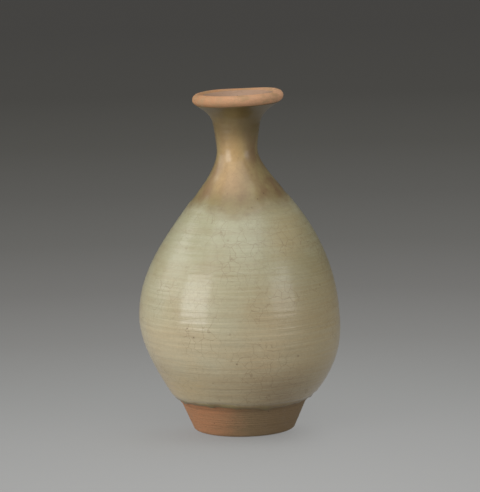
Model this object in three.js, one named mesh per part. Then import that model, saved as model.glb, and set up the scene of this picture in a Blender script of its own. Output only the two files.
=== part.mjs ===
// Pear-shaped stoneware bottle with a dish mouth, white slip on its belly and a clear glaze.
// Millimetres, +Z up. The origin is the middle of the circle on which the foot stands.
// The clay is thrown in sections, which are luted together with a ring of wet slip at each joint.

import * as THREE from "three";

// Lengths of the sections, from the table upwards
const ringHeight = 9; // foot ring, up to its joint with the bowl
const footHeight = 24; // from the table to where the foot's straight side meets the curve of the bowl
const bellyHeight = 97; // from the table to the widest point, where bowl and shoulder are joined
const shoulderLength = 115; // from the belly's joint to the neck's joint
const neckLength = 52; // from the neck's joint to the mouth's joint
const neckWaist = 34; // from the neck's joint up to its slimmest point
const mouthHeight = 32; // from the mouth's joint to the top of the lip

// Where the coats end and the floor begins
const bareFoot = 4; // bare clay between the top of the foot and the glaze
const bareBowl = 7; // from the top of the foot to the white slip
const bareShoulder = 4; // from the white slip to the neck's joint
const floorRise = 26; // from the top of the foot to where the inside wall bends over into the floor

// Radii on the outside of the clay
const footRadius = 44; // at the table
const footTopRadius = 54.5; // at footHeight
const bellyRadius = 86;
const neckRadius = 17.1; // at its slimmest point
const neckTopRadius = 19.2; // at the mouth's joint
const lipRadius = 39.5;

// Pull of each curve's handles, which sets how full the form is between its named points
const bowlSpring = 20; // from the foot, along bowlAngle
const bowlAngle = 44; // degrees from the upright at which the bowl leaves the foot
const bowlPull = 29.5; // straight down from the belly
const shoulderPull = 76; // straight up from the belly
const neckPull = 29; // straight down from the neck's slimmest point
const neckRise = 4; // straight up from it
const neckRun = 11; // back from the mouth's joint, along neckLean
const neckLean = 8; // degrees from the upright at which the neck runs into the mouth
const mouthPull = 7; // onward from the mouth's joint, along neckLean
const lipPull = 18; // back from the lip, along lipAngle
const lipAngle = 28; // degrees above the level at which the mouth runs out to the lip

// Thickness of the clay, of the joints and of the coats
const footWidth = 7; // of the ring, where it stands
const recessDraft = 3; // how much narrower the foot's recess is at its ceiling
const floorThickness = 9;
const bowlWall = 8; // at the turn of the floor
const neckWall = 5;
const lipWall = 9.5;
const luting = 0.8; // ring of wet slip in each joint
const slipCoat = 0.7;
const glazeCoat = 0.6;
const innerGlazeCoat = 0.6;
const coatGap = 0.12; // clearance under each coat
const coatStep = 2; // length over which the glaze climbs onto the slip

// Smoothness of the turned solids
const segments = 32; // around the axis
const levelStep = 13.5; // greatest height between two rings
const leastStep = 0.05; // rings nearer than this are one
const mouthSteps = 6; // along the mouth's flare
const lipSteps = 5; // around the lip
const floorSteps = 5; // from the wall to the middle of the floor
const slopeStep = 0.25; // height over which a slope is measured

// Heights above the table that follow from the lengths
const bowlBottom = ringHeight + luting;
const glazeFoot = footHeight + bareFoot;
const slipFoot = footHeight + bareBowl;
const floorTurn = footHeight + floorRise;
const neckJoint = bellyHeight + shoulderLength;
const slipTop = neckJoint - bareShoulder;
const neckHeight = neckJoint + neckWaist;
const mouthJoint = neckJoint + neckLength;
const mouthFoot = mouthJoint + luting;
const height = mouthJoint + mouthHeight;

const at = (radius, level) => new THREE.Vector2(radius, level);
const heading = (degrees) => {
  const angle = THREE.MathUtils.degToRad(degrees);
  return at(Math.cos(angle), Math.sin(angle));
};

// Outside of the clay, from the table to the mouth's joint
const footSide = new THREE.LineCurve(at(footRadius, 0), at(footTopRadius, footHeight));
const bowlSide = new THREE.CubicBezierCurve(
  at(footTopRadius, footHeight),
  at(footTopRadius, footHeight).addScaledVector(heading(90 - bowlAngle), bowlSpring),
  at(bellyRadius, bellyHeight - bowlPull),
  at(bellyRadius, bellyHeight),
);
const shoulderSide = new THREE.CubicBezierCurve(
  at(bellyRadius, bellyHeight),
  at(bellyRadius, bellyHeight + shoulderPull),
  at(neckRadius, neckHeight - neckPull),
  at(neckRadius, neckHeight),
);
const neckSide = new THREE.CubicBezierCurve(
  at(neckRadius, neckHeight),
  at(neckRadius, neckHeight + neckRise),
  at(neckTopRadius, mouthFoot).addScaledVector(heading(90 - neckLean), -neckRun),
  at(neckTopRadius, mouthFoot),
);
const sides = [footSide, bowlSide, shoulderSide, neckSide];

// Radius of the outside at a level, found by halving the stretch of curve that holds it
function outerRadius(level) {
  const side = sides.find((curve) => level <= curve.getPoint(1).y) ?? neckSide;
  let start = 0;
  let end = 1;
  while (end - start > 1e-9) {
    const middle = (start + end) / 2;
    if (side.getPoint(middle).y < level) {
      start = middle;
    } else {
      end = middle;
    }
  }
  return side.getPoint(end).x;
}

// The wall thins evenly from the turn of the floor to the neck
function wallAt(level) {
  const share = THREE.MathUtils.smoothstep(level, floorTurn, neckHeight);
  return THREE.MathUtils.lerp(bowlWall, neckWall, share);
}

// The wall is as thick as wallAt says square to its surface, so more on the level where it slopes
function innerRadius(level) {
  const slope = (outerRadius(level + slopeStep) - outerRadius(level - slopeStep)) / (2 * slopeStep);
  return outerRadius(level) - wallAt(level) * Math.hypot(1, slope);
}

// Levels that the turned pieces share, so that their facets lie parallel
const edges = [
  0,
  ringHeight,
  bowlBottom,
  glazeFoot,
  footHeight,
  slipFoot - coatStep,
  slipFoot,
  floorTurn,
  bellyHeight - luting,
  bellyHeight,
  slipTop,
  slipTop + coatStep,
  neckJoint,
  neckJoint + luting,
  neckHeight,
  mouthJoint,
  mouthFoot,
].sort((a, b) => a - b);

const sharedLevels = edges.flatMap((edge, i) => {
  const next = edges[i + 1] ?? edge;
  const count = Math.ceil((next - edge) / levelStep);
  return Array.from({ length: count }, (_, k) => edge + ((next - edge) * k) / count);
});

function levelsBetween(low, high) {
  const within = sharedLevels.filter((level) => level > low + leastStep && level < high - leastStep);
  return [low, ...within.filter((level, i) => i === 0 || level - within[i - 1] > leastStep), high];
}

const outerLine = (low, high) => levelsBetween(low, high).map((level) => at(outerRadius(level), level));
const innerLine = (low, high) => levelsBetween(low, high).map((level) => at(innerRadius(level), level));

// Shifts each point of a line to the right of the way it runs, by a distance that may vary with its place
function offsetLine(line, distanceAt) {
  return line.map((point, i) => {
    const before = line[Math.max(i - 1, 0)];
    const after = line[Math.min(i + 1, line.length - 1)];
    const along = after.clone().sub(before).normalize();
    const right = point.x === 0 ? at(0, -1) : at(along.y, -along.x);
    return point.clone().addScaledVector(right, distanceAt(point));
  });
}

// The mouth's flare: its outer curve, its inner one and the round of the lip between them
const lipMiddle = at(lipRadius - lipWall / 2, height - lipWall / 2);
const flareEnd = lipMiddle.clone().addScaledVector(heading(lipAngle - 90), lipWall / 2);
const flareSide = new THREE.CubicBezierCurve(
  at(neckTopRadius, mouthFoot),
  at(neckTopRadius, mouthFoot).addScaledVector(heading(90 - neckLean), mouthPull),
  flareEnd.clone().addScaledVector(heading(lipAngle), -lipPull),
  flareEnd,
);
const flareOuter = flareSide.getPoints(mouthSteps);
const flareInner = flareOuter.map((point, i) => {
  if (i === 0) {
    return at(innerRadius(mouthFoot), mouthFoot);
  }
  const along = flareSide.getTangent(i / mouthSteps);
  const wall = THREE.MathUtils.lerp(neckWall, lipWall, i / mouthSteps);
  return point.clone().addScaledVector(at(-along.y, along.x), wall);
});
const lipRound = Array.from({ length: lipSteps - 1 }, (_, i) => {
  const turn = lipAngle - 90 + (180 * (i + 1)) / lipSteps;
  return lipMiddle.clone().addScaledVector(heading(turn), lipWall / 2);
});

// The floor inside the bowl, from the middle out to the wall
const floorTop = bowlBottom + floorThickness;
const turnRadius = innerRadius(floorTurn);
const turnSlope = (innerRadius(floorTurn + slopeStep) - turnRadius) / slopeStep;
const floorRadius = Math.max(turnRadius - turnSlope * (floorTurn - floorTop), 0);
const floorLine = new THREE.QuadraticBezierCurve(
  at(0, floorTop),
  at(floorRadius, floorTop),
  at(turnRadius, floorTurn),
).getPoints(floorSteps);

// Materials
const clay = (colour, roughness) => new THREE.MeshStandardMaterial({ color: colour, roughness });
const bareClay = clay("#86563c", 0.8);
const bodyClay = clay("#7b6a58", 0.85);
const neckClay = clay("#84694c", 0.85);
const lutingClay = clay("#a08b70", 0.9);
const whiteSlip = clay("#d8d2bd", 0.8);
const greenGlaze = clay("#a9a384", 0.3);
const poolGlaze = clay("#8f8468", 0.35);

const bottle = new THREE.Group();

// Adds a piece turned from a profile that runs up its outer side and down its inner side
function turn(name, profile, material) {
  const closed = profile[0].x === 0 ? profile : [...profile, profile[0]];
  const geometry = new THREE.LatheGeometry(closed, segments).rotateX(Math.PI / 2);
  const piece = new THREE.Mesh(geometry, material);
  piece.name = name;
  bottle.add(piece);
}

// A length of the wall between two joints
function turnSection(name, low, high, material) {
  turn(name, [...outerLine(low, high), ...innerLine(low, high).toReversed()], material);
}

// A ring of luting slip on top of a joint
function turnLuting(name, level) {
  turnSection(name, level, level + luting, lutingClay);
}

// A coat between two distances from the line that it covers
function turnCoat(name, line, near, far, material) {
  const farSide = offsetLine(line, far);
  const nearSide = offsetLine(line, near);
  const rising = far(line[0]) > near(line[0]);
  const [up, down] = rising ? [farSide, nearSide] : [nearSide, farSide];
  turn(name, [...up, ...down.toReversed()], material);
}

// Foot ring, with the recess that keeps the base off the table
const recessRadius = footRadius - footWidth;
const recessTopRadius = recessRadius - recessDraft;
turn(
  "foot_ring",
  [
    ...outerLine(0, ringHeight),
    at(recessTopRadius, ringHeight),
    at(recessRadius, 0),
  ],
  bareClay,
);
turn(
  "foot_luting",
  [
    ...outerLine(ringHeight, bowlBottom),
    at(recessTopRadius, bowlBottom),
    at(recessTopRadius, ringHeight),
  ],
  lutingClay,
);

// Bowl with its floor, and the shoulder above it
const bowlTop = bellyHeight - luting;
turn(
  "lower_bowl",
  [
    at(0, bowlBottom),
    ...outerLine(bowlBottom, bowlTop),
    ...innerLine(floorTurn, bowlTop).toReversed(),
    ...floorLine.slice(0, -1).toReversed(),
  ],
  bodyClay,
);
turnLuting("belly_luting", bowlTop);
turnSection("upper_shoulder", bellyHeight, neckJoint, bodyClay);

// Neck and mouth
turnLuting("neck_luting", neckJoint);
turnSection("neck", neckJoint + luting, mouthJoint, neckClay);
turnLuting("mouth_luting", mouthJoint);
turn("dish_mouth", [...flareOuter, ...lipRound, ...flareInner.toReversed()], bareClay);

// White slip over the belly and shoulder
const slipNear = () => coatGap;
const slipFar = () => coatGap + slipCoat;
turnCoat("white_slip", outerLine(slipFoot, slipTop), slipNear, slipFar, whiteSlip);

// Clear glaze outside, which climbs over the slip
function glazeNear(point) {
  const rise = THREE.MathUtils.clamp((point.y - slipFoot + coatStep) / coatStep, 0, 1);
  const fall = THREE.MathUtils.clamp((slipTop + coatStep - point.y) / coatStep, 0, 1);
  return coatGap + Math.min(rise, fall) * (slipCoat + coatGap);
}
const glazeFar = (point) => glazeNear(point) + glazeCoat;
const glazedLine = [...outerLine(glazeFoot, mouthJoint), ...flareOuter];
turnCoat("outer_glaze", glazedLine, glazeNear, glazeFar, greenGlaze);

// Glaze inside, from the middle of the floor up to a step below the lip, which is bare
const innerNear = () => -coatGap;
const innerFar = () => -coatGap - innerGlazeCoat;
const innerFlare = flareInner.slice(0, -1);
const innerClay = [...floorLine.slice(0, -1), ...innerLine(floorTurn, mouthJoint), ...innerFlare];
turnCoat("inner_glaze", innerClay, innerNear, innerFar, poolGlaze);

export default bottle;
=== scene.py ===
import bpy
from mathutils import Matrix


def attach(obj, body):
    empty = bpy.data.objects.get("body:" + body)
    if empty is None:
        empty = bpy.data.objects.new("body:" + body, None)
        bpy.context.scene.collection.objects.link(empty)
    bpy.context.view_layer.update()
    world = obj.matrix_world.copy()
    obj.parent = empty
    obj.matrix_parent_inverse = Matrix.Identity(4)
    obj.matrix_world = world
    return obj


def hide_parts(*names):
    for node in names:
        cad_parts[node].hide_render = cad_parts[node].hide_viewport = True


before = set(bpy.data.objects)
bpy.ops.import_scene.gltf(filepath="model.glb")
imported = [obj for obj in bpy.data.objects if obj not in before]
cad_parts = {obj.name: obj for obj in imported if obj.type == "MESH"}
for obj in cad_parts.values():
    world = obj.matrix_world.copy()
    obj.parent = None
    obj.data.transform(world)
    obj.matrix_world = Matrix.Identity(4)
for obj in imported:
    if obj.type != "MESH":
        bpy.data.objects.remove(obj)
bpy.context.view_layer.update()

import math

import bpy
import numpy as np
from mathutils import Matrix, Vector

# Lengths are in millimetres and turned into metres where a mesh is made.
MM = 0.001
TURN = 2 * math.pi

# Levels above the table, as the part's source has them
RING_TOP = 9.0
FLOOR_TOP = 18.8
FOOT_TOP = 24.0
BARE_BAND_TOP = 28.0
SLIP_FOOT = 31.0
FLOOR_TURN = 50.0
BELLY = 97.0
SLIP_TOP = 208.0
NECK_JOINT = 212.0
NECK_WAIST = 246.0
MOUTH_JOINT = 264.0
TOP = 296.0

# Radii
FOOT_RADIUS = 44.0
FOOT_TOP_RADIUS = 54.5
RECESS_RADIUS = 37.0
RECESS_TOP_RADIUS = 34.0
BELLY_RADIUS = 86.0
NECK_RADIUS = 17.1
NECK_TOP_RADIUS = 19.2
LIP_RADIUS = 39.5

# Thickness of the clay, of the joints, of the gap under a coat and of the coats
BOWL_WALL = 8.0
NECK_WALL = 5.0
LIP_WALL = 9.5
LUTING = 0.8
COAT_GAP = 0.12
SLIP_THICK = 0.7
GLAZE_THICK = 0.6

# Pull of each curve's handles, in millimetres, and the angles at which curves leave, in degrees
BOWL_SPRING = 20
BOWL_ANGLE = 44
BOWL_PULL = 29.5
SHOULDER_PULL = 76
NECK_PULL = 29
NECK_RISE = 4
NECK_RUN = 11
NECK_LEAN = 8
MOUTH_PULL = 7
LIP_PULL = 18
LIP_ANGLE = 28

# Points round a piece that shows, round a coat that hardly shows, and round one that is hidden
FINE = 224
COATED = 128
PLAIN = 96

# Points on the line of the bowl's floor, from its middle to the wall
FLOOR_POINTS = 120


# Outline
def heading(degrees):
    """Direction in the pot's profile: 0 degrees is outwards, and 90 is up."""
    return np.array([math.cos(math.radians(degrees)), math.sin(math.radians(degrees))])


def bent(a, b, c, d, count):
    """Points on a curve from a to d that is pulled towards b and c."""
    t = np.linspace(0, 1, count)[:, None]
    a, b, c, d = (np.asarray(p, float) for p in (a, b, c, d))
    return (1 - t) ** 3 * a + 3 * t * (1 - t) ** 2 * b + 3 * t * t * (1 - t) * c + t ** 3 * d


def join(*stretches):
    """Stretches that meet end to end, as one line."""
    return np.concatenate([stretches[0]] + [s[1:] for s in stretches[1:]])


def smooth(value, low, high):
    """0 below low, 1 above high, and smooth between."""
    t = np.clip((value - low) / (high - low), 0, 1)
    return t * t * (3 - 2 * t)


def course(points):
    """The way a line runs at each of its points."""
    along = np.gradient(points, axis=0)
    return along / np.hypot(*along.T)[:, None]


class Line:
    """A line of the clay from low to high, which gives its place and facing at any length along it."""

    def __init__(self, points, facing):
        self.points = points
        steps = np.hypot(*np.diff(points, axis=0).T)
        self.length = np.concatenate([[0], np.cumsum(steps)])
        along = course(points)
        self.out = facing * np.stack([along[:, 1], -along[:, 0]], 1)

    def at(self, length):
        """Radius, level and the direction away from the clay."""
        return [np.interp(length, self.length, column) for column in (*self.points.T, *self.out.T)]

    def reach(self, level):
        """Length along the line at a level."""
        return np.interp(level, self.points[:, 1], self.length)

    def radius(self, level):
        return np.interp(level, self.points[:, 1], self.points[:, 0])


LIP_MIDDLE = np.array([LIP_RADIUS - LIP_WALL / 2, TOP - LIP_WALL / 2])
FLARE_END = LIP_MIDDLE + heading(LIP_ANGLE - 90) * LIP_WALL / 2
MOUTH_FOOT = MOUTH_JOINT + LUTING
NECK_TOP = np.array([NECK_TOP_RADIUS, MOUTH_FOOT])
NECK_LINE = heading(90 - NECK_LEAN)
FLARE = bent(NECK_TOP, NECK_TOP + MOUTH_PULL * NECK_LINE, FLARE_END - LIP_PULL * heading(LIP_ANGLE),
             FLARE_END, 160)
BOWL_LEAVES = np.array([FOOT_TOP_RADIUS, FOOT_TOP])
outside = Line(join(
    np.linspace((FOOT_RADIUS, 0), BOWL_LEAVES, 60),
    bent(BOWL_LEAVES, BOWL_LEAVES + BOWL_SPRING * heading(90 - BOWL_ANGLE),
         (BELLY_RADIUS, BELLY - BOWL_PULL), (BELLY_RADIUS, BELLY), 240),
    bent((BELLY_RADIUS, BELLY), (BELLY_RADIUS, BELLY + SHOULDER_PULL),
         (NECK_RADIUS, NECK_WAIST - NECK_PULL), (NECK_RADIUS, NECK_WAIST), 360),
    bent((NECK_RADIUS, NECK_WAIST), (NECK_RADIUS, NECK_WAIST + NECK_RISE),
         NECK_TOP - NECK_RUN * NECK_LINE, NECK_TOP, 60),
    FLARE,
), 1)


def wall_line():
    """Inside of the wall from the turn of the floor to the mouth's joint."""
    level = np.linspace(FLOOR_TURN, MOUTH_FOOT, 420)
    radius = outside.radius(level)
    wall = BOWL_WALL + (NECK_WALL - BOWL_WALL) * smooth(level, FLOOR_TURN, NECK_WAIST)
    return np.stack([radius - wall * np.hypot(1, np.gradient(radius, level)), level], 1)


def floor_line(wall):
    """Floor from the middle of the bowl to where the wall rises."""
    slope = (wall[1, 0] - wall[0, 0]) / (wall[1, 1] - wall[0, 1])
    knee = np.array([wall[0, 0] - slope * (FLOOR_TURN - FLOOR_TOP), FLOOR_TOP])
    middle = np.array([0.0, FLOOR_TOP])
    t = np.linspace(0, 1, FLOOR_POINTS)[:, None]
    return (1 - t) ** 2 * middle + 2 * t * (1 - t) * knee + t * t * wall[0]


def flare_inside():
    """Inside of the mouth, whose wall thickens evenly towards the lip."""
    along = course(FLARE)
    wall = NECK_WALL + (LIP_WALL - NECK_WALL) * np.linspace(0, 1, len(FLARE))[:, None]
    return FLARE + np.stack([-along[:, 1], along[:, 0]], 1) * wall


WALL = wall_line()
inside = Line(join(floor_line(WALL), WALL, flare_inside()), -1)


# The hand's marks: everything that makes the turned form a little uneven
def waves(seed, count, most, upright):
    """Slow waves round the pot: how many of them go round it, up to most, their phase, how fast they
    turn as they climb, and their share."""
    rng = np.random.default_rng(seed)
    return [(int(rng.integers(1, most + 1)), rng.uniform(0, TURN), rng.uniform(-upright, upright),
             rng.uniform(0.5, 1.0)) for _ in range(count)]


def swell(table, angle, level):
    """Sum of slow waves, mostly between -1 and 1."""
    total = 0.0
    for number, phase, climb, share in table:
        total = total + share * np.sin(number * angle + phase + climb * level)
    return total / math.sqrt(len(table))


DENTS = waves(11, 12, 5, 0.045)
RIPPLE = waves(23, 9, 7, 0.11)
LIP_WOBBLE = waves(31, 5, 4, 0.0)
GLAZE_DRIFT = waves(57, 10, 9, 0.14)
GRIT = waves(71, 16, 60, 3.0)

RING_PITCH = 5.4
FINE_RING_PITCH = 2.3
RING_DEPTH = 0.07
FINE_RING_DEPTH = 0.02
OVAL = 0.55
THREE_SIDED = 0.22
DENT_DEPTH = 0.28
LIP_RISE = 0.45
AXIS_CALM = 12  # radius within which the unevenness dies away towards the axis
MOUTH_TILT = math.tan(math.radians(1.8))
FORWARD_TILT = 0.4  # tilt from front to back, as a share of that from side to side

# How the wall strays sideways as it climbs: from a level, to a level, by how many millimetres
SWAY = [(24, 48, 1.5), (52, 108, -3.7), (120, 195, 3.6), (212, 248, -2.6), (268, 292, 1.6)]


def rings(level, angle):
    """Throwing rings: a shallow spiral that a finger leaves as the clay rises, and a finer one."""
    drift = 0.9 * swell(RIPPLE, angle, level * 0.4)
    groove = np.sin(TURN * level / RING_PITCH + angle + drift)
    finer = np.sin(TURN * level / FINE_RING_PITCH + 2 * angle + 1.7 * drift)
    strong = 0.35 + 0.65 * (0.5 + 0.5 * np.sin(level * 0.071 + 1.2)) ** 2
    shown = smooth(level, 30, 60) * (1 - 0.6 * smooth(level, 268, 285))
    return shown * strong * (RING_DEPTH * groove + FINE_RING_DEPTH * finer)


def hand(level, angle):
    """How far the whole wall leans out at a place."""
    belly = smooth(level, 24, 80) * (1 - 0.75 * smooth(level, 150, 235))
    slack = OVAL * np.cos(2 * (angle - 0.5)) + THREE_SIDED * np.cos(3 * angle + 2.0)
    return belly * (slack + DENT_DEPTH * swell(DENTS, angle, level)) + rings(level, angle)


def settle(radius, level, angle):
    """The place of a point of the turned form once the pot has been handled and fired."""
    moved = hand(level, angle) * np.clip(radius / AXIS_CALM, 0, 1)
    radius = radius + np.where(radius > 1, moved, 0)
    x = radius * np.cos(angle)
    y = radius * np.sin(angle)
    lift = smooth(level, 226, 286) * MOUTH_TILT * (x + y * FORWARD_TILT)
    rim = smooth(level, 284, 297) * LIP_RISE * swell(LIP_WOBBLE, angle, level)
    stray = sum(change * smooth(level, low, high) for low, high, change in SWAY)
    return np.stack([x + stray, y, level + lift + rim], -1)


def grit_hollows(angle, level, amount):
    """Small hollows where grit was pressed in or has fallen out."""
    return amount * (0.5 + 0.5 * np.clip(swell(GRIT, angle, level), -1.5, 1.5) / 1.5)


# Where coats end: how many waves go round the pot, their height and their phase. The meshes and the
# colours both use them.
GLAZE_HEM = [(2, 0.9, 0.4), (3, 0.8, 2.1), (5, 0.55, 4.0), (9, 0.3, 1.1), (14, 0.2, 5.2)]
SLIP_HEM = [(1, 1.2, 5.6), (3, 0.9, 0.9), (4, 0.7, 3.3), (7, 0.45, 2.2), (13, 0.25, 0.2)]
SLIP_BROW = [(1, 2.2, 2.3), (2, 3.4, 1.57), (5, 2.2, 0.4), (8, 0.5, 2.9), (17, 0.25, 4.4)]
GLAZE_HEM_SHARE = 0.7
SLIP_HEM_SHARE = 0.6
HEM_RISE = 0.6
BROW_DROP = 6.5

# Runs of glaze: angle in degrees, length, width and thickness in millimetres
RUNS = [(-118, 17, 5.0, 0.34), (-96, 9, 3.6, 0.22), (-71, 21, 5.6, 0.36), (-38, 12, 4.2, 0.25),
        (-8, 24, 6.2, 0.38), (24, 10, 4.0, 0.24), (61, 19, 5.2, 0.33), (98, 13, 4.6, 0.27),
        (133, 23, 5.8, 0.37), (171, 11, 4.2, 0.24), (-149, 15, 4.8, 0.30)]
RUN_RADIUS = 54.0
RUN_STEEPNESS = 2.2
RUN_DROP = 0.09  # share of a run's length by which it draws the glaze's edge down


def hem(table, angle, sine=np.sin):
    """Rise and fall of an edge round the pot, in millimetres."""
    total = 0.0
    for number, height, phase in table:
        total = total + height * sine(angle * float(number) + phase)
    return total


def run_share(angle, number):
    """How much of a run lies at an angle: 1 on its middle line, 0 beside it."""
    degrees, _, width, _ = RUNS[number]
    across = (angle - math.radians(degrees) + math.pi) % TURN - math.pi
    return np.exp(-((across * RUN_RADIUS / width) ** 2) * RUN_STEEPNESS)


def glaze_hem(angle):
    """Level of the glaze's lower edge."""
    level = BARE_BAND_TOP + HEM_RISE + GLAZE_HEM_SHARE * hem(GLAZE_HEM, angle)
    for number, (_, length, _, _) in enumerate(RUNS):
        level = level - run_share(angle, number) * length * RUN_DROP
    return level


def slip_hem(angle):
    """Level of the slip's lower edge."""
    return SLIP_FOOT + HEM_RISE + SLIP_HEM_SHARE * hem(SLIP_HEM, angle)


def slip_brow(angle):
    """Level of the slip's upper edge."""
    return SLIP_TOP - BROW_DROP + hem(SLIP_BROW, angle)


# Meshes
def around(count):
    """Angles round the pot, evenly spaced."""
    return np.arange(count) * TURN / count


def levels(low, high, step):
    """Levels from low to high, at most a step apart."""
    return np.linspace(low, high, max(2, int(math.ceil((high - low) / step)) + 1))


def spread(values, angle):
    """One value for each ring, repeated round it."""
    return np.asarray(values, float)[:, None] + 0 * angle


def turned(name, grid, starts_on_axis=False, ends_on_axis=False):
    """A closed solid from rings of points in millimetres. It runs up outside and down inside,
    and a ring that lies on the axis is one point."""
    last = len(grid) - 1
    points, first = [], []
    for i, ring in enumerate(grid):
        on_axis = (i == 0 and starts_on_axis) or (i == last and ends_on_axis)
        first.append(sum(len(p) for p in points))
        points.append(ring.mean(0, keepdims=True) if on_axis else ring)
    j = np.arange(grid.shape[1])
    k = (j + 1) % len(j)
    pairs = [(i, i + 1) for i in range(last)]
    if not starts_on_axis and not ends_on_axis:
        pairs.append((last, 0))
    faces = []
    for low, high in pairs:
        a, b = first[low], first[high]
        if len(points[low]) == 1:
            corners = (a + 0 * j, b + k, b + j)
        elif len(points[high]) == 1:
            corners = (a + j, a + k, b + 0 * j)
        else:
            corners = (a + j, a + k, b + k, b + j)
        faces.extend(zip(*(corner.tolist() for corner in corners)))
    mesh = bpy.data.meshes.new(name)
    mesh.from_pydata((np.concatenate(points) * MM).tolist(), [], faces)
    mesh.update()
    mesh.polygons.foreach_set("use_smooth", np.ones(len(mesh.polygons), dtype=bool))
    piece = bpy.data.objects.new(name, mesh)
    bpy.context.scene.collection.objects.link(piece)
    return piece


def place(piece, node, slot, material):
    """The piece stands for its node of the model, on the one body that there is."""
    piece.data.materials.append(material)
    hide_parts(node)
    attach(piece, "root")


def section(name, low, high, step, node, slot, material):
    """A plain length of the wall, of clay or of a joint, which the coats hide."""
    angle = around(PLAIN)
    up = levels(low, high, step)
    down = up[::-1]
    radius = np.concatenate([outside.radius(up), inside.radius(down)])
    level = np.concatenate([up, down])
    grid = settle(spread(radius, angle), spread(level, angle), angle)
    place(turned(name, grid), node, slot, material)


# Rings of a coat: their distances from its edges, and their shares of its length beside the axis
EDGE_STEPS = np.array([0, 0.1, 0.28, 0.55, 0.9, 1.35, 1.9, 2.6, 3.5, 4.6])
AXIS_SHARES = [[0.0], [0.002]]
EDGE_ROUND = 1.1  # distance from the edge at which a coat has its full thickness


def coat_rings(length, step):
    """Shares of a coat's length at which it has rings, close together at both edges."""
    inner = np.arange(EDGE_STEPS[-1] + step, length - EDGE_STEPS[-1] - step * 0.5, step)
    return np.concatenate([EDGE_STEPS, inner, length - EDGE_STEPS[::-1]]) / length


def edge_round(distance):
    """Share of a coat's thickness at a distance from its rounded edge."""
    return np.sqrt(np.clip(1 - (1 - np.clip(distance / EDGE_ROUND, 0, 1)) ** 2, 0, 1))


def coat(line, start, stop, near, far, step, back_step, from_axis=False):
    """Rings of a coat on a line, on its far side and on its near one. Start and stop are lengths
    along the line round the pot, and near and far are the coat's distances from the clay."""
    angle = around(len(start))
    span = float((stop - start).mean())
    share = coat_rings(span, step)[:, None]
    back_share = np.linspace(0, 1, max(3, int(span / back_step)))[1:-1, None]
    if from_axis:
        share = np.concatenate([AXIS_SHARES, share[len(EDGE_STEPS):]])
        back_share = np.concatenate([AXIS_SHARES, back_share])

    def side(share_of_span, away_at):
        length = start + share_of_span * (stop - start)
        radius, level, out_r, out_z = line.at(length)
        away = away_at(length, level)
        return settle(np.maximum(radius + out_r * away, 0), level + out_z * away, angle)

    def away_in_front(length, level):
        inner = near(length, level, angle)
        thick = far(length, level, angle) - inner
        if not from_axis:
            thick = thick * edge_round(length - start)
        return inner + thick * edge_round(stop - length)

    return side(share, away_in_front), side(back_share, lambda s, z: near(s, z, angle))


# Nodes of a material, written as sums. The numbers are a Mix node's sockets where it mixes colours.
MIX_SHARE, MIX_LOW, MIX_HIGH, MIX_RESULT = 0, 6, 7, 2


class Wire:
    """A value, colour or vector in a material. Arithmetic on a value adds its nodes."""

    def __init__(self, tree, socket):
        self.tree = tree
        self.socket = socket

    def node(self, kind, settings=None, sockets=None, out=0):
        made = self.tree.nodes.new(kind)
        for key, value in (settings or {}).items():
            if key == "stops":
                stops = made.color_ramp.elements
                while len(stops) < len(value):
                    stops.new(0.5)
                for stop, (place_on_ramp, colour) in zip(stops, value):
                    stop.position = place_on_ramp
                    stop.color = (*colour, 1)
            else:
                setattr(made, key, value)
        for key, value in (sockets or {}).items():
            if isinstance(value, Wire):
                self.tree.links.new(value.socket, made.inputs[key])
            elif isinstance(value, tuple) and made.inputs[key].type == "RGBA":
                made.inputs[key].default_value = (*value, 1)
            else:
                made.inputs[key].default_value = value
        return Wire(self.tree, made.outputs[out])

    def math(self, operation, *values):
        return self.node("ShaderNodeMath", {"operation": operation}, dict(enumerate(values)))

    def __add__(self, other):
        return self.math("ADD", self, other)

    __radd__ = __add__

    def __mul__(self, other):
        return self.math("MULTIPLY", self, other)

    __rmul__ = __mul__

    def __sub__(self, other):
        return self.math("SUBTRACT", self, other)

    def __rsub__(self, other):
        return self.math("SUBTRACT", other, self)

    def __truediv__(self, other):
        return self.math("DIVIDE", self, other)

    def __pow__(self, other):
        return self.math("POWER", self, other)

    def sine(self):
        return self.math("SINE", self)

    def abs(self):
        return self.math("ABSOLUTE", self)

    def least(self, other):
        return self.math("MINIMUM", self, other)

    def most(self, other):
        return self.math("MAXIMUM", self, other)

    def clamp(self):
        return self.most(0.0).least(1.0)

    def step(self, low, high):
        """0 below low, 1 above high, and smooth between. Low above high turns it round."""
        if low > high:
            return 1 - self.step(high, low)
        return self.node("ShaderNodeMapRange", {"interpolation_type": "SMOOTHSTEP"},
                         {"Value": self, "From Min": low, "From Max": high})

    def mound(self, middle, width):
        """1 at the middle, 0 a width away from it on either side."""
        return 1 - ((self - middle) / width).abs().step(0.0, 1.0)

    def feed(self, shader, socket):
        self.tree.links.new(self.socket, shader.inputs[socket])


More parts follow.
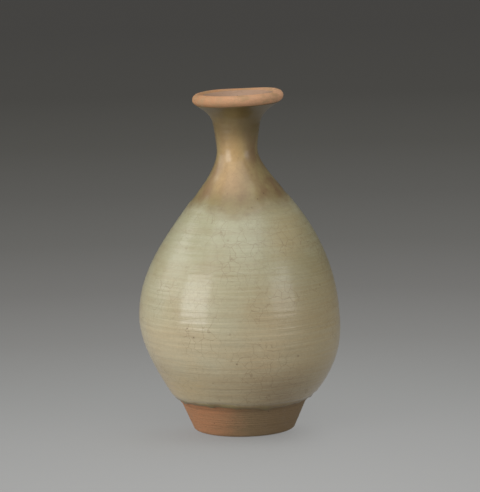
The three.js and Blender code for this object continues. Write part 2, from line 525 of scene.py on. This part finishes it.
class Finish:
    """One material: where a point lies on the pot, and how its colour and skin are made."""

    def __init__(self, name, constants):
        self.material = bpy.data.materials.new(name)
        self.material.use_nodes = True
        tree = self.material.node_tree
        self.shader = tree.nodes["Principled BSDF"]
        for key, value in constants.items():
            self.shader.inputs[key].default_value = value
        self.node = Wire(tree, None).node
        self.place = self.node("ShaderNodeTexCoord", out="Object")
        metres = [self.node("ShaderNodeSeparateXYZ", None, {"Vector": self.place}, axis) for axis in "XYZ"]
        self.x, self.y, self.z = [value / MM for value in metres]
        self.angle = self.x.math("ARCTAN2", self.y, self.x)

    def move(self, operation, place, by):
        return self.node("ShaderNodeVectorMath", {"operation": operation}, {0: place, 1: by})

    def at(self, grain, squeeze=(1, 1, 1), turn=0.0):
        """The place, so scaled that a noise cell is about grain millimetres wide. Turn picks another
        stretch of the same noise."""
        scaled = self.move("MULTIPLY", self.place, tuple(s / (grain * MM) for s in squeeze))
        return self.move("ADD", scaled, (turn, turn * 1.7, turn * 0.3))

    def noise(self, grain, squeeze=(1, 1, 1), turn=0.0, detail=3.0, rough=0.55, out=0):
        """Soft noise from 0 to 1, evenly spread round a half."""
        return self.node("ShaderNodeTexNoise", None, {
            "Vector": self.at(grain, squeeze, turn), "Scale": 1.0, "Detail": detail, "Roughness": rough},
            out)

    def cells(self, grain, feature, turn=0.0, squeeze=(1, 1, 1), wander=None, out="Distance"):
        """Cells about grain millimetres wide. Wander bends their edges."""
        place_in_cells = self.at(grain, squeeze, turn)
        if wander is not None:
            place_in_cells = self.move("ADD", place_in_cells, wander)
        return self.node("ShaderNodeTexVoronoi", {"feature": feature},
                         {"Vector": place_in_cells, "Scale": 1.0}, out)

    def mix(self, share, low, high):
        """Colour low where share is 0, and high where it is 1."""
        return self.node("ShaderNodeMix", {"data_type": "RGBA"},
                         {MIX_SHARE: share, MIX_LOW: low, MIX_HIGH: high}, MIX_RESULT)

    def layer(self, colour, layers):
        """A colour with others laid over it in turn, each by its share."""
        for share, over in layers:
            colour = self.mix(share, colour, over)
        return colour

    def tint(self, colour, by):
        """Colour times a grey."""
        grey = self.node("ShaderNodeCombineColor", None, {"Red": by, "Green": by, "Blue": by})
        return self.node("ShaderNodeMix", {"data_type": "RGBA", "blend_type": "MULTIPLY"},
                         {MIX_SHARE: 1.0, MIX_LOW: colour, MIX_HIGH: grey}, MIX_RESULT)

    def skin(self, colour, roughness, height, coat_weight=None):
        """The finished material. Height is in millimetres."""
        bump = self.node("ShaderNodeBump", None, {"Strength": 1.0, "Distance": MM, "Height": height})
        colour.feed(self.shader, "Base Color")
        roughness.feed(self.shader, "Roughness")
        bump.feed(self.shader, "Normal")
        if coat_weight is not None:
            coat_weight.feed(self.shader, "Coat Weight")
        return self.material


# Colours, as light on the clay gives them back
SLIP_GREEN = (0.335, 0.315, 0.185)
SLIP_BEIGE = (0.500, 0.412, 0.255)
SLIP_PALE = (0.440, 0.425, 0.300)
# Cream for painted light on the lower belly
SLIP_PAINTED_LIGHT = (0.570, 0.465, 0.300)
SLIP_TAN = (0.400, 0.270, 0.100)
SLIP_WORN = (0.300, 0.225, 0.125)
SLIP_WARM = (0.440, 0.325, 0.180)
SLIP_TOASTED = (0.570, 0.393, 0.175)
SLIP_WHITE = (0.740, 0.710, 0.620)
OLIVE = (0.260, 0.205, 0.088)
UNDER_GLAZE = (0.190, 0.120, 0.055)
# Dark brown of pooled glaze, also used for painted shade under the lip
POOL_AND_SHADE = (0.118, 0.080, 0.024)
NECK_PINK = (0.500, 0.325, 0.160)
NECK_TAN = (0.540, 0.430, 0.210)
NECK_GOLD = (0.570, 0.360, 0.135)
FOOT_RED = (0.440, 0.205, 0.100)
FOOT_BROWN = (0.218, 0.148, 0.079)
FOOT_ASH = (0.240, 0.175, 0.110)
LIP_RED = (0.600, 0.340, 0.195)
LIP_DARK = (0.445, 0.233, 0.115)
LIP_FILM = (0.395, 0.250, 0.130)
INNER_GREY = (0.400, 0.255, 0.170)
BODY = (0.330, 0.240, 0.165)
SAND = (0.500, 0.400, 0.300)
IRON = (0.060, 0.034, 0.019)


# Marks that several finishes share
def specks(finish, grain, few, size, turn):
    """Small dots in some of the cells: 1 on a dot. Few is the share of cells that have none."""
    distance = finish.cells(grain, "F1", turn)
    cell_colour = finish.cells(grain, "F1", turn, out="Color")
    draw = finish.node("ShaderNodeSeparateColor", None, {"Color": cell_colour})
    chosen = draw.step(few, few + 0.02)
    width = draw.step(few, 1.0) * size + size * 0.4
    return chosen * (1 - (distance / width).step(0.55, 1.0))


def crackle(finish):
    """Fine lines of a crazed glaze, from 0 to 1, which fade in and out."""
    bend = finish.noise(7.0, detail=2.0, rough=0.5, out="Color")
    wander = finish.node("ShaderNodeVectorMath", {"operation": "SCALE"}, {0: bend, "Scale": 0.55})
    wide = finish.cells(8.5, "DISTANCE_TO_EDGE", 2.0, (1, 1, 0.85), wander)
    fine = finish.cells(4.2, "DISTANCE_TO_EDGE", 5.0, (1, 1, 0.9), wander)
    shown = finish.noise(38.0, turn=3.0).step(0.38, 0.62)
    shown_fine = finish.noise(26.0, turn=9.0).step(0.46, 0.66)
    lines = (1 - wide.step(0.006, 0.03)) * shown
    hair = (1 - fine.step(0.008, 0.04)) * shown_fine * 0.55
    return lines.most(hair)


def brush_strokes(finish):
    """Long level strokes of a slip brush, thick and thin, and finer ones between them."""
    strokes = finish.noise(46.0, (0.55, 0.55, 9.0), 4.0, 4.0, 0.6)
    fine_strokes = finish.noise(30.0, (0.6, 0.6, 26.0), 7.0, 3.0, 0.6)
    return strokes, fine_strokes


# Finishes
def slip_under_glaze(finish, ragged, strokes, fine_strokes, mottle):
    """Slip as it shows through the glaze: greener higher up, brushed thick and thin, and toned from side
    to side, partly with painted light and painted shade. Ragged, in millimetres, makes the edges of the
    tones wander."""
    x, y, z = finish.x, finish.y, finish.z
    across = x + ragged
    up = z + ragged
    cloud = finish.noise(42.0, (1, 1, 1.2), 12.0, 4.0, 0.55)
    thin = ((strokes.step(0.56, 0.36) * 0.35 + (1 - cloud).step(0.48, 0.70) * 0.45)
            + mottle.step(0.62, 0.8) * 0.18)
    # A browner patch on the front of the belly
    front_belly_browner = (x + ragged * 1.2).mound(3.0, 44.0) * up.mound(104.0, 62.0) * y.step(-20.0, -60.0)
    # Olive on the right-hand side: partly the glaze's own tone, partly painted shade on the side away from
    # the lamps
    olive_and_shade_right = (x - y * 0.30).step(42.0, 84.0) * (0.55 + 0.45 * cloud)
    warm_side = across.step(-14.0, 30.0) * up.step(160.0, 100.0)
    # Painted shade: the lower right of the belly, which faces away from the lamps, made darker
    painted_shade_low_right = across.mound(33.0, 50.0) * up.step(72.0, 42.0)
    # Painted light: a paler patch on the front of the upper shoulder
    painted_light_brow = across.mound(22.0, 42.0) * z.mound(175.0, 30.0) * y.step(0.0, -20.0)
    # Painted light: the lower belly made paler on its left, lit side
    painted_light_low_left = up.mound(84.0, 32.0) * across.step(0.0, -60.0)
    # Darker towards the foot, below the belly
    lower_bowl_darker = up.step(78.0, 50.0) * (0.45 + 0.55 * z.step(30.0, 46.0))
    toasted_foot = up.mound(43.0, 22.0) * across.step(-22.0, -48.0)
    tan_brow = across.mound(39.0, 26.0) * up.mound(176.0, 36.0) * y.step(0.0, -10.0)
    return finish.layer(SLIP_BEIGE, [
        (z.step(60.0, 185.0), SLIP_GREEN),
        (cloud.step(0.36, 0.68) * 0.5, SLIP_PALE),
        ((thin + front_belly_browner * 0.30).clamp() * 0.55, SLIP_WORN),
        (olive_and_shade_right * 0.72, OLIVE),
        (warm_side * 0.4, SLIP_WARM),
        (painted_shade_low_right * 0.6, UNDER_GLAZE),
        (painted_light_brow * 0.48, SLIP_PALE),
        (painted_light_low_left * 0.33, SLIP_PAINTED_LIGHT),
        (lower_bowl_darker * 0.34, SLIP_WORN),
        (toasted_foot * 0.35, SLIP_TOASTED),
        (tan_brow * 0.42, SLIP_TAN),
        (fine_strokes.step(0.60, 0.40) * 0.16, SLIP_PALE),
    ])


def clay_under_glaze(finish, ragged):
    """Bare clay as it shows through the glaze: it flashed pink and gold on the neck's near side, which
    also carries painted light on its lit left, and the glaze pools at the foot of the neck and under the
    lip, where painted shade deepens it towards the right."""
    x, z = finish.x, finish.z
    cloud = finish.noise(16.0, (1, 1, 0.6), 21.0, 4.0, 0.6)
    blush = finish.layer(NECK_PINK, [
        (x.step(-6.0, 14.0), NECK_TAN),
        (z.step(220.0, 238.0) * 0.5, NECK_GOLD),
    ])
    # Pink flash on the neck's near side: partly the clay's own colour, partly painted light on its lit
    # left
    flash_and_painted_light = finish.angle.mound(-1.88, 1.28) * z.step(200.0, 224.0) * z.step(284.0, 250.0)
    pooled = (z + ragged * 0.3).mound(203.0, 9.0)
    # Glaze pooled under the lip, darkened further by painted shade that is deepest on the right
    pool_and_shade_under_lip = z.step(243.0, 268.0) * (0.73 + 0.25 * x.step(-4.0, 10.0))
    return finish.layer(UNDER_GLAZE, [
        (cloud.step(0.35, 0.7), OLIVE),
        ((flash_and_painted_light * (0.45 + cloud)).clamp() * 0.8, blush),
        (pooled * 0.4, OLIVE),
        (pool_and_shade_under_lip, POOL_AND_SHADE),
    ])


def glazed_skin():
    """Green glaze over the slip, and over the bare clay above and below it."""
    finish = Finish("green_glaze", {"IOR": 1.5, "Coat Roughness": 0.12})
    z, angle = finish.z, finish.angle
    ragged = (finish.noise(9.0, (1, 1, 1.6), 1.0) - 0.5) * 7.0
    over_foot = z - SLIP_HEM_SHARE * hem(SLIP_HEM, angle, Wire.sine) + ragged * 0.3
    over_brow = z - hem(SLIP_BROW, angle, Wire.sine) + ragged * 1.5
    over_edge = z - GLAZE_HEM_SHARE * hem(GLAZE_HEM, angle, Wire.sine) + ragged * 0.2
    slip = (over_foot.step(SLIP_FOOT - 1.0, SLIP_FOOT + 2.0)
            * over_brow.step(SLIP_TOP - 0.5, SLIP_TOP - 17.5))
    strokes, fine_strokes = brush_strokes(finish)
    mottle = finish.noise(7.0, (1, 1, 1.3), 17.0, 4.0, 0.6)
    lines = crackle(finish) * (0.35 + 0.65 * slip)
    dots = specks(finish, 5.2, 0.90, 0.085, 3.0)
    halo = specks(finish, 5.2, 0.90, 0.21, 3.0)
    fine_dots = specks(finish, 2.1, 0.90, 0.13, 8.0)
    pits = specks(finish, 3.4, 0.93, 0.085, 14.0)
    colour = finish.layer(clay_under_glaze(finish, ragged), [
        (slip, slip_under_glaze(finish, ragged, strokes, fine_strokes, mottle)),
        (over_edge.step(31.0, 28.0) * 0.6, POOL_AND_SHADE),
        (lines * 0.42, UNDER_GLAZE),
        (halo * 0.28, UNDER_GLAZE),
        ((dots * 0.85).most(fine_dots * 0.5), IRON),
        (pits * 0.5, UNDER_GLAZE),
    ])
    colour = finish.tint(colour, 0.90 + 0.20 * finish.noise(2.2, turn=30.0, detail=2.0))

    peel = finish.noise(3.4, turn=40.0, detail=2.0)
    grain = finish.noise(0.8, turn=44.0, detail=2.0)
    dull = finish.noise(24.0, turn=50.0)
    height = (peel * 0.10 + grain * 0.012 + (strokes - 0.5) * 0.30 * slip
              + (fine_strokes - 0.5) * 0.22 * slip - pits * 0.22 - lines * 0.035
              + dots * 0.02 + (mottle - 0.5) * 0.10)
    roughness = 0.27 + 0.16 * dull + pits * 0.2 + (1 - slip) * 0.05 + lines * 0.06
    return finish.skin(colour, roughness, height, 0.25 + 0.2 * dull)


def bare_clay(name, red, dark, ash, warm_side, flash_and_light_range, film=0.0):
    """Unglazed stoneware: gritty, redder and lighter on one side, partly a flash of the kiln and partly
    painted light on the side towards the lamps, with turning lines. Film is how much of a thin lick of
    glaze lies on it in patches."""
    finish = Finish(name, {"IOR": 1.45, "Specular IOR Level": 0.3})
    cloud = finish.noise(13.0, (1, 1, 1.4), 2.0, 4.0, 0.6)
    lines = finish.noise(26.0, (0.5, 0.5, 34.0), 5.0, 3.0, 0.6)
    grit = finish.noise(1.1, turn=9.0, rough=0.7)
    warm_x, warm_y = warm_side
    # The redder side: partly a flash of the kiln, partly painted light on the side towards the lamps
    side = (finish.x * warm_x + finish.y * warm_y + (cloud - 0.5) * 30.0).step(*flash_and_light_range)
    licked = finish.noise(8.5, (1, 1, 1.5), 31.0, 4.0, 0.62).step(0.44, 0.66) * film
    sand = specks(finish, 1.7, 0.88, 0.20, 6.0) * (1 - licked)
    iron = specks(finish, 2.6, 0.90, 0.17, 11.0)
    colour = finish.layer(dark, [
        (side, red),
        (cloud.step(0.52, 0.74) * 0.55, ash),
        (lines.step(0.60, 0.38) * 0.28, dark),
    ])
    colour = finish.layer(finish.tint(colour, 0.72 + 0.52 * grit), [
        (licked * 0.75, LIP_FILM),
        (sand * 0.3, SAND),
        (iron * 0.8, IRON),
    ])
    height = (grit * 0.16 + (lines - 0.5) * 0.42 + sand * 0.08 - iron * 0.05
              + finish.noise(4.5, turn=20.0) * 0.16)
    return finish.skin(colour, 0.62 + 0.26 * grit - licked * 0.42, height)


def inner_skin():
    """Glaze inside: thin and pinkish grey in the mouth, olive below it and pooled on the floor."""
    finish = Finish("inner_glaze", {"IOR": 1.5, "Coat Roughness": 0.15})
    cloud = finish.noise(9.0, (1, 1, 0.7), 3.0, 4.0, 0.6)
    dots = specks(finish, 3.2, 0.86, 0.11, 4.0)
    lines = crackle(finish)
    colour = finish.layer(INNER_GREY, [
        ((finish.z + (cloud - 0.5) * 12.0).step(290.0, 262.0), OLIVE),
        (finish.z.step(70.0, 25.0) * 0.7, POOL_AND_SHADE),
        (cloud.step(0.55, 0.75) * 0.35, LIP_RED),
        (dots * 0.8, IRON),
        (lines * 0.35, UNDER_GLAZE),
    ])
    height = finish.noise(3.0, turn=8.0) * 0.12 - lines * 0.03 - dots * 0.05
    return finish.skin(colour, 0.30 + 0.2 * cloud, height, 0.2 + 0.2 * cloud)


def hidden_clay(name, dark, pale):
    """Clay of the body or of a joint, wiped with a wet finger before the coats went on."""
    finish = Finish(name, {"IOR": 1.45, "Specular IOR Level": 0.3})
    grit = finish.noise(1.3, turn=3.0, rough=0.7)
    wiped = finish.noise(24.0, (0.6, 0.6, 22.0), 6.0, 3.0, 0.6)
    iron = specks(finish, 2.4, 0.92, 0.17, 9.0)
    colour = finish.tint(finish.mix(wiped.step(0.4, 0.7) * 0.6, dark, pale), 0.74 + 0.5 * grit)
    colour = finish.mix(iron * 0.7, colour, IRON)
    return finish.skin(colour, 0.66 + 0.24 * grit, grit * 0.14 + (wiped - 0.5) * 0.3 - iron * 0.05)


def slip_skin():
    """White slip, brushed on in level strokes."""
    finish = Finish("white_slip", {"IOR": 1.45, "Specular IOR Level": 0.3})
    strokes, fine_strokes = brush_strokes(finish)
    colour = finish.mix(strokes.step(0.55, 0.32) * 0.4, SLIP_WHITE, SLIP_WORN)
    colour = finish.tint(colour, 0.84 + 0.3 * finish.noise(2.0, turn=5.0))
    height = (strokes - 0.5) * 0.3 + (fine_strokes - 0.5) * 0.25
    return finish.skin(colour, 0.6 + 0.3 * fine_strokes, height)


GLAZE = glazed_skin()
LIP_CLAY = bare_clay("bare_clay_lip", LIP_RED, LIP_DARK, INNER_GREY, (0.7, -0.5), (-22.0, 34.0), 1.0)
FOOT_CLAY = bare_clay("bare_clay_foot", FOOT_RED, FOOT_BROWN, FOOT_ASH, (-1.0, -0.45), (14.0, 56.0))
BODY_CLAY = hidden_clay("body_clay", BODY, FOOT_ASH)
NECK_CLAY = hidden_clay("neck_clay", NECK_PINK, BODY)
JOINT_CLAY = hidden_clay("luting_slip", BODY, SLIP_BEIGE)
INNER = inner_skin()
SLIP = slip_skin()


# Sections of clay and the joints between them
FOOT_GRIT = 0.12
EDGE_GRIT = 0.10

# Worn edge of the foot: how far in from its outside, and how high
WORN_EDGE = [(5.8, 0.0), (3.5, 0.0), (1.7, 0.0), (0.9, 0.08), (0.35, 0.35), (0.0, 0.8)]


def make_foot_ring():
    angle = around(FINE)
    side = levels(1.0, RING_TOP, 0.6)
    edge = [(FOOT_RADIUS - worn_off, rise) for worn_off, rise in WORN_EDGE]
    recess = np.linspace((RECESS_TOP_RADIUS, RING_TOP), (RECESS_RADIUS - 0.5, 0.6), 9)
    inner_edge = [(RECESS_RADIUS - 0.1, 0.2), (RECESS_RADIUS + 0.4, 0.04)]
    profile = np.concatenate([edge, np.stack([outside.radius(side), side], 1), recess, inner_edge])
    radius = spread(profile[:, 0], angle)
    level = spread(profile[:, 1], angle)
    worn = 1 - smooth(level, 0.0, 3.0)
    radius = radius - grit_hollows(angle, level, FOOT_GRIT) * (radius > RECESS_RADIUS + 1)
    level = level + worn * grit_hollows(angle, radius, EDGE_GRIT) * (level > 0.03)
    place(turned("foot_ring_clay", settle(radius, level, angle)), "foot_ring", "bare_clay", FOOT_CLAY)


def make_foot_joint():
    angle = around(FINE)
    level = levels(RING_TOP, RING_TOP + LUTING, 0.2)
    bulge = 0.16 * np.sin(np.linspace(0, math.pi, len(level)))
    radius = np.concatenate([outside.radius(level) + bulge, 0 * level + RECESS_TOP_RADIUS])
    level = np.concatenate([level, level[::-1]])
    grid = settle(spread(radius, angle), spread(level, angle), angle)
    place(turned("foot_joint_slip", grid), "foot_luting", "luting_slip", FOOT_CLAY)


def make_bowl():
    """Bowl with its floor. Its bare band above the foot has turning lines and grit, and its underside,
    the ceiling of the foot's recess, has the spiral of the trimming tool."""
    angle = around(FINE)
    bottom = RING_TOP + LUTING
    top = BELLY - LUTING
    disc = np.linspace(0, outside.radius(bottom), 24)[:-1]
    band = np.concatenate([levels(bottom, FOOT_TOP, 0.5)[:-1], levels(FOOT_TOP, 34.0, 0.5)[:-1],
                           levels(34.0, top, 2.0)])
    back = levels(FLOOR_TURN, top, 4.0)[::-1]
    floor = inside.points[:FLOOR_POINTS][::-8]
    radius = np.concatenate([disc, outside.radius(band), inside.radius(back), floor[:, 0]])
    level = np.concatenate([0 * disc + bottom, band, back, floor[:, 1]])
    number = np.arange(len(radius))
    on_disc = spread((number > 0) & (number < len(disc)), angle)
    on_band = spread((number >= len(disc)) & (number < len(disc) + len(band)), angle)
    radius = spread(radius, angle)
    level = spread(level, angle)
    bare = smooth(level, bottom, bottom + 1.5) * (1 - smooth(level, 26, 31)) * on_band
    lines = 0.16 * np.sin(level * 3.1 + angle * 2) + 0.10 * np.sin(level * 7.0 - angle)
    radius = radius + bare * (0.6 * lines - grit_hollows(angle, level, FOOT_GRIT))
    spiral = 0.22 * (0.5 + 0.5 * np.sin(radius * 1.9 + angle)) * (radius < RECESS_TOP_RADIUS - 1)
    level = level + on_disc * spiral
    grid = settle(radius, level, angle)
    place(turned("bowl_clay", grid, True, True), "lower_bowl", "body_clay", FOOT_CLAY)


def make_mouth():
    """Dish mouth with a thick lip."""
    angle = around(FINE)
    outer_foot = outside.reach(MOUTH_FOOT)
    inner_foot = inside.reach(MOUTH_FOOT)
    up = outer_foot + levels(0, outside.length[-1] - outer_foot, 1.2)
    down = inner_foot + levels(0, inside.length[-1] - inner_foot, 1.2)[::-1]
    out_r, out_z, _, _ = outside.at(up)
    in_r, in_z, _, _ = inside.at(down)
    lip = np.radians(np.linspace(LIP_ANGLE - 90, LIP_ANGLE + 90, 22)[1:-1])
    lip_r = LIP_MIDDLE[0] + LIP_WALL / 2 * np.cos(lip)
    lip_z = LIP_MIDDLE[1] + LIP_WALL / 2 * np.sin(lip)
    radius = spread(np.concatenate([out_r, lip_r, in_r]), angle)
    level = spread(np.concatenate([out_z, lip_z, in_z]), angle)
    uneven = 0.10 * swell(RIPPLE, 3 * angle, level) - grit_hollows(angle, level, EDGE_GRIT)
    radius = radius + smooth(level, 290, 296) * uneven
    place(turned("mouth_clay", settle(radius, level, angle)), "dish_mouth", "bare_clay", LIP_CLAY)


make_foot_ring()
make_foot_joint()
make_bowl()
section("belly_joint_slip", BELLY - LUTING, BELLY, 0.4, "belly_luting", "luting_slip", JOINT_CLAY)
section("shoulder_clay", BELLY, NECK_JOINT, 2.0, "upper_shoulder", "body_clay", BODY_CLAY)
section("neck_joint_slip", NECK_JOINT, NECK_JOINT + LUTING, 0.4, "neck_luting", "luting_slip", JOINT_CLAY)
section("neck_clay", NECK_JOINT + LUTING, MOUTH_JOINT, 2.0, "neck", "neck_clay", NECK_CLAY)
section("mouth_joint_slip", MOUTH_JOINT, MOUTH_FOOT, 0.4, "mouth_luting", "luting_slip", JOINT_CLAY)
make_mouth()


# Coats
THINNEST = 0.05  # slip where the brush ran out
RIDGE_SHARE = 0.8  # what is left of the brush's ridges once the slip has settled
RIDGE_CREST = 0.09  # how far the tallest of them then stand over the slip's mean

# Ridges of the slip brush: pitch, height, how steeply they spiral, and how they drift
BRUSH_RIDGES = [(7.3, 0.05, 1, waves(90, 5, 4, 0.03)), (3.9, 0.04, -2, waves(91, 5, 4, 0.03)),
                (2.2, 0.025, 3, waves(92, 5, 4, 0.03))]


def brush_marks(length, angle):
    """Ridges that a wide brush leaves as the pot turns under it."""
    ridges = 0.0
    for pitch, height, lean, drift in BRUSH_RIDGES:
        phase = lean * angle + 1.8 * swell(drift, angle, length)
        ridges = ridges + height * np.sin(TURN * length / pitch + phase)
    return ridges


def slip_cover(level, angle):
    """Share of the slip's full thickness at a place."""
    low = smooth(level - slip_hem(angle), 0.0, 2.6)
    high = smooth(slip_brow(angle) - level, 0.0, 4.0)
    return low * high


def slip_thickness(length, level, angle):
    brushed = SLIP_THICK - RIDGE_CREST + brush_marks(length, angle) * RIDGE_SHARE
    return brushed * slip_cover(level, angle)


def bare_gap(length, level, angle):
    """Near side of a coat that lies on clay."""
    return COAT_GAP + 0 * level * angle


def slip_far(length, level, angle):
    return COAT_GAP + THINNEST + slip_thickness(length, level, angle)


def make_slip():
    angle = around(COATED)
    start = outside.reach(slip_hem(angle) - 0.2)
    stop = outside.reach(slip_brow(angle) + 0.2)
    front, back = coat(outside, start, stop, bare_gap, slip_far, 1.6, 5.0)
    grid = np.concatenate([front, back[::-1]])
    place(turned("brushed_slip", grid), "white_slip", "white_slip", SLIP)


def glaze_near(length, level, angle):
    """The glaze lies on the slip, and beyond its edges on the clay."""
    over_slip = slip_thickness(length, level, angle) + THINNEST + COAT_GAP
    return COAT_GAP + over_slip * slip_cover(level, angle)


def glaze_far(length, level, angle):
    """Glaze: thicker at its lower edge, in its runs and where it gathers at the foot of the neck."""
    above = level - glaze_hem(angle)
    bead = 0.42 * np.exp(-((above - 1.6) / 1.7) ** 2)
    runs = 0.0
    for number, (_, reach, _, thick) in enumerate(RUNS):
        fade = 1 - smooth(above, reach * 0.25, reach)
        runs = runs + thick * run_share(angle, number) * fade
    gather = 0.25 * smooth(level, 205, 212) * (1 - smooth(level, 214, 220))
    drawn = -0.12 * smooth(level, 60, 110)
    slow = 0.07 * swell(GLAZE_DRIFT, angle, level)
    return glaze_near(length, level, angle) + GLAZE_THICK + bead + runs + gather + drawn + slow


def make_glaze():
    angle = around(FINE)
    start = outside.reach(glaze_hem(angle))
    stop = outside.length[-1] - 0.9 - 0.5 * swell(LIP_WOBBLE, 2 * angle, 0)
    front, back = coat(outside, start, stop, glaze_near, glaze_far, 1.05, 2.5)
    grid = np.concatenate([front, back[::-1]])
    place(turned("outer_glaze_coat", grid), "outer_glaze", "green_glaze", GLAZE)


def inner_glaze_far(length, level, angle):
    return COAT_GAP + GLAZE_THICK + 0.05 * swell(RIPPLE, angle, level)


def make_inner_glaze():
    angle = around(COATED)
    stop = inside.length[-1] - 2.2 - 0.8 * swell(LIP_WOBBLE, angle, 3.0)
    front, back = coat(inside, 0 * angle, stop, bare_gap, inner_glaze_far, 1.8, 5.0, from_axis=True)
    grid = np.concatenate([back, front[::-1]])
    place(turned("inner_glaze_coat", grid, True, True), "inner_glaze", "inner_glaze", INNER)


make_slip()
make_glaze()
make_inner_glaze()


# Floor: plain paper, pale where the bottle stands and darker with distance, a falloff of light painted
# into its colour. Its mesh is in metres.
FLOOR_RINGS = [0.3, 0.6, 1.0, 1.6, 2.6, 4.5, 8.0, 16.0]
FLOOR_SPOKES = 96
FLOOR_LEVEL = -0.0001

# The paper's colour, with the lamps' falloff painted in, by share of its reach, from its palest place, in
# front of the bottle, outwards
PAINTED_FALLOFF_STOPS = [
    (0.0, (0.402, 0.402, 0.395)), (0.043, (0.348, 0.348, 0.342)), (0.075, (0.297, 0.298, 0.291)),
    (0.117, (0.234, 0.232, 0.224)), (0.168, (0.180, 0.177, 0.169)), (0.231, (0.141, 0.139, 0.130)),
    (0.314, (0.113, 0.111, 0.103)), (0.43, (0.089, 0.087, 0.079)), (0.60, (0.071, 0.069, 0.063)),
    (1.0, (0.064, 0.062, 0.058))]
PALEST_PLACE = 450.0
PALEST_RADIUS = 150.0
PAPER_REACH = 6500.0
PAPER_LIT = 1.017  # light of the lamps on the paper, where 1 gives back just its colour


def paper():
    """Part of the paper's light is reflected and the rest is given off, which keeps the bottle's shadow
    faint. More is reflected, so the shadow is deeper, in front of the foot, and less to its right."""
    finish = Finish("floor_paper", {"Roughness": 0.9, "Specular IOR Level": 0.1,
                                    "Emission Strength": 1.0})
    x, y = finish.x, finish.y
    forward = y + PALEST_PLACE
    distance = ((x * x + forward * forward) ** 0.5 - PALEST_RADIUS) / PAPER_REACH
    # Painted falloff of the lamps' light: pale near the bottle and darker with distance
    colour = finish.node("ShaderNodeValToRGB", {"stops": PAINTED_FALLOFF_STOPS}, {"Fac": distance})
    aside = x + 25.0
    out = (aside * aside + y * y) ** 0.5
    right = x.step(10.0, 80.0) * out.step(420.0, 160.0)
    in_front = y.step(20.0, -60.0) * out.step(210.0, 60.0) * x.step(85.0, 25.0)
    reflected = 0.17 - 0.08 * right + 0.37 * in_front
    finish.tint(colour, reflected).feed(finish.shader, "Base Color")
    finish.tint(colour, 1.0 - reflected * PAPER_LIT).feed(finish.shader, "Emission Color")
    return finish.material


def make_floor():
    turns = around(FLOOR_SPOKES)
    points = [(0, 0, FLOOR_LEVEL)]
    points += [(radius * math.cos(turn), radius * math.sin(turn), FLOOR_LEVEL)
               for radius in FLOOR_RINGS for turn in turns]
    faces = []
    for i in range(FLOOR_SPOKES):
        j = (i + 1) % FLOOR_SPOKES
        faces.append((0, 1 + i, 1 + j))
        for ring in range(len(FLOOR_RINGS) - 1):
            a = 1 + ring * FLOOR_SPOKES
            b = a + FLOOR_SPOKES
            faces.append((a + i, b + i, b + j, a + j))
    mesh = bpy.data.meshes.new("floor")
    mesh.from_pydata(points, [], faces)
    floor = bpy.data.objects.new("floor", mesh)
    bpy.context.scene.collection.objects.link(floor)
    mesh.materials.append(paper())


make_floor()


# Studio, in metres and degrees. The air lights the pot, and is darker where the camera and the
# reflections see it.
LAMP_AIM = Vector((0, 0, 0.14))
AIR_LIGHT = (0.42, 0.42, 0.42)
AIR_SEEN = (0.060, 0.058, 0.055)


def lamp(name, azimuth, elevation, distance, size, power):
    """A soft box. Azimuth is degrees round the bottle from the camera, to the left in the picture."""
    a, e = math.radians(azimuth), math.radians(elevation)
    away = Vector((-math.sin(a) * math.cos(e), -math.cos(a) * math.cos(e), math.sin(e)))
    data = bpy.data.lights.new(name, "AREA")
    data.shape = "RECTANGLE"
    data.size, data.size_y = size
    data.energy = power
    light = bpy.data.objects.new(name, data)
    bpy.context.scene.collection.objects.link(light)
    light.location = LAMP_AIM + away * distance
    light.rotation_euler = away.to_track_quat("Z", "Y").to_euler()


lamp("left_box", 51, 15, 1.6, (0.95, 1.0), 12.9)
lamp("left_fill", 95, 24, 1.7, (1.1, 0.9), 5.1)
lamp("right_box", -53, 15, 1.9, (0.9, 0.9), 5.4)
lamp("overhead", 10, 64, 2.3, (2.6, 2.6), 27)

world = bpy.data.worlds.new("studio_air")
bpy.context.scene.world = world
world.use_nodes = True
air = Wire(world.node_tree, None)
seen = (air.node("ShaderNodeLightPath", out="Is Camera Ray")
        + air.node("ShaderNodeLightPath", out="Is Glossy Ray")).least(1.0)
glow = air.node("ShaderNodeMix", {"data_type": "RGBA"},
                {MIX_SHARE: seen, MIX_LOW: AIR_LIGHT, MIX_HIGH: AIR_SEEN}, MIX_RESULT)
glow.feed(world.node_tree.nodes["Background"], "Color")

# Camera at the photograph's angle, in metres
CAMERA_ELEVATION = math.radians(8.0)
CAMERA_ROLL = math.radians(-1.25)
CAMERA_DISTANCE = 2.272
CAMERA_AIM = Vector((-0.0005, 0.0, 0.161))
CAMERA_LENS = 190.2
CAMERA_SENSOR = 36.0

away = Vector((0.0, -math.cos(CAMERA_ELEVATION), math.sin(CAMERA_ELEVATION)))
camera_data = bpy.data.cameras.new("camera")
camera_data.lens = CAMERA_LENS
camera_data.sensor_width = CAMERA_SENSOR
camera = bpy.data.objects.new("camera", camera_data)
bpy.context.scene.collection.objects.link(camera)
camera.location = CAMERA_AIM + away * CAMERA_DISTANCE
camera.rotation_euler = (away.to_track_quat("Z", "Y").to_matrix()
                         @ Matrix.Rotation(CAMERA_ROLL, 3, "Z")).to_euler()
bpy.context.scene.camera = camera
bpy.context.scene.view_settings.view_transform = "Standard"

bpy.context.view_layer.update()
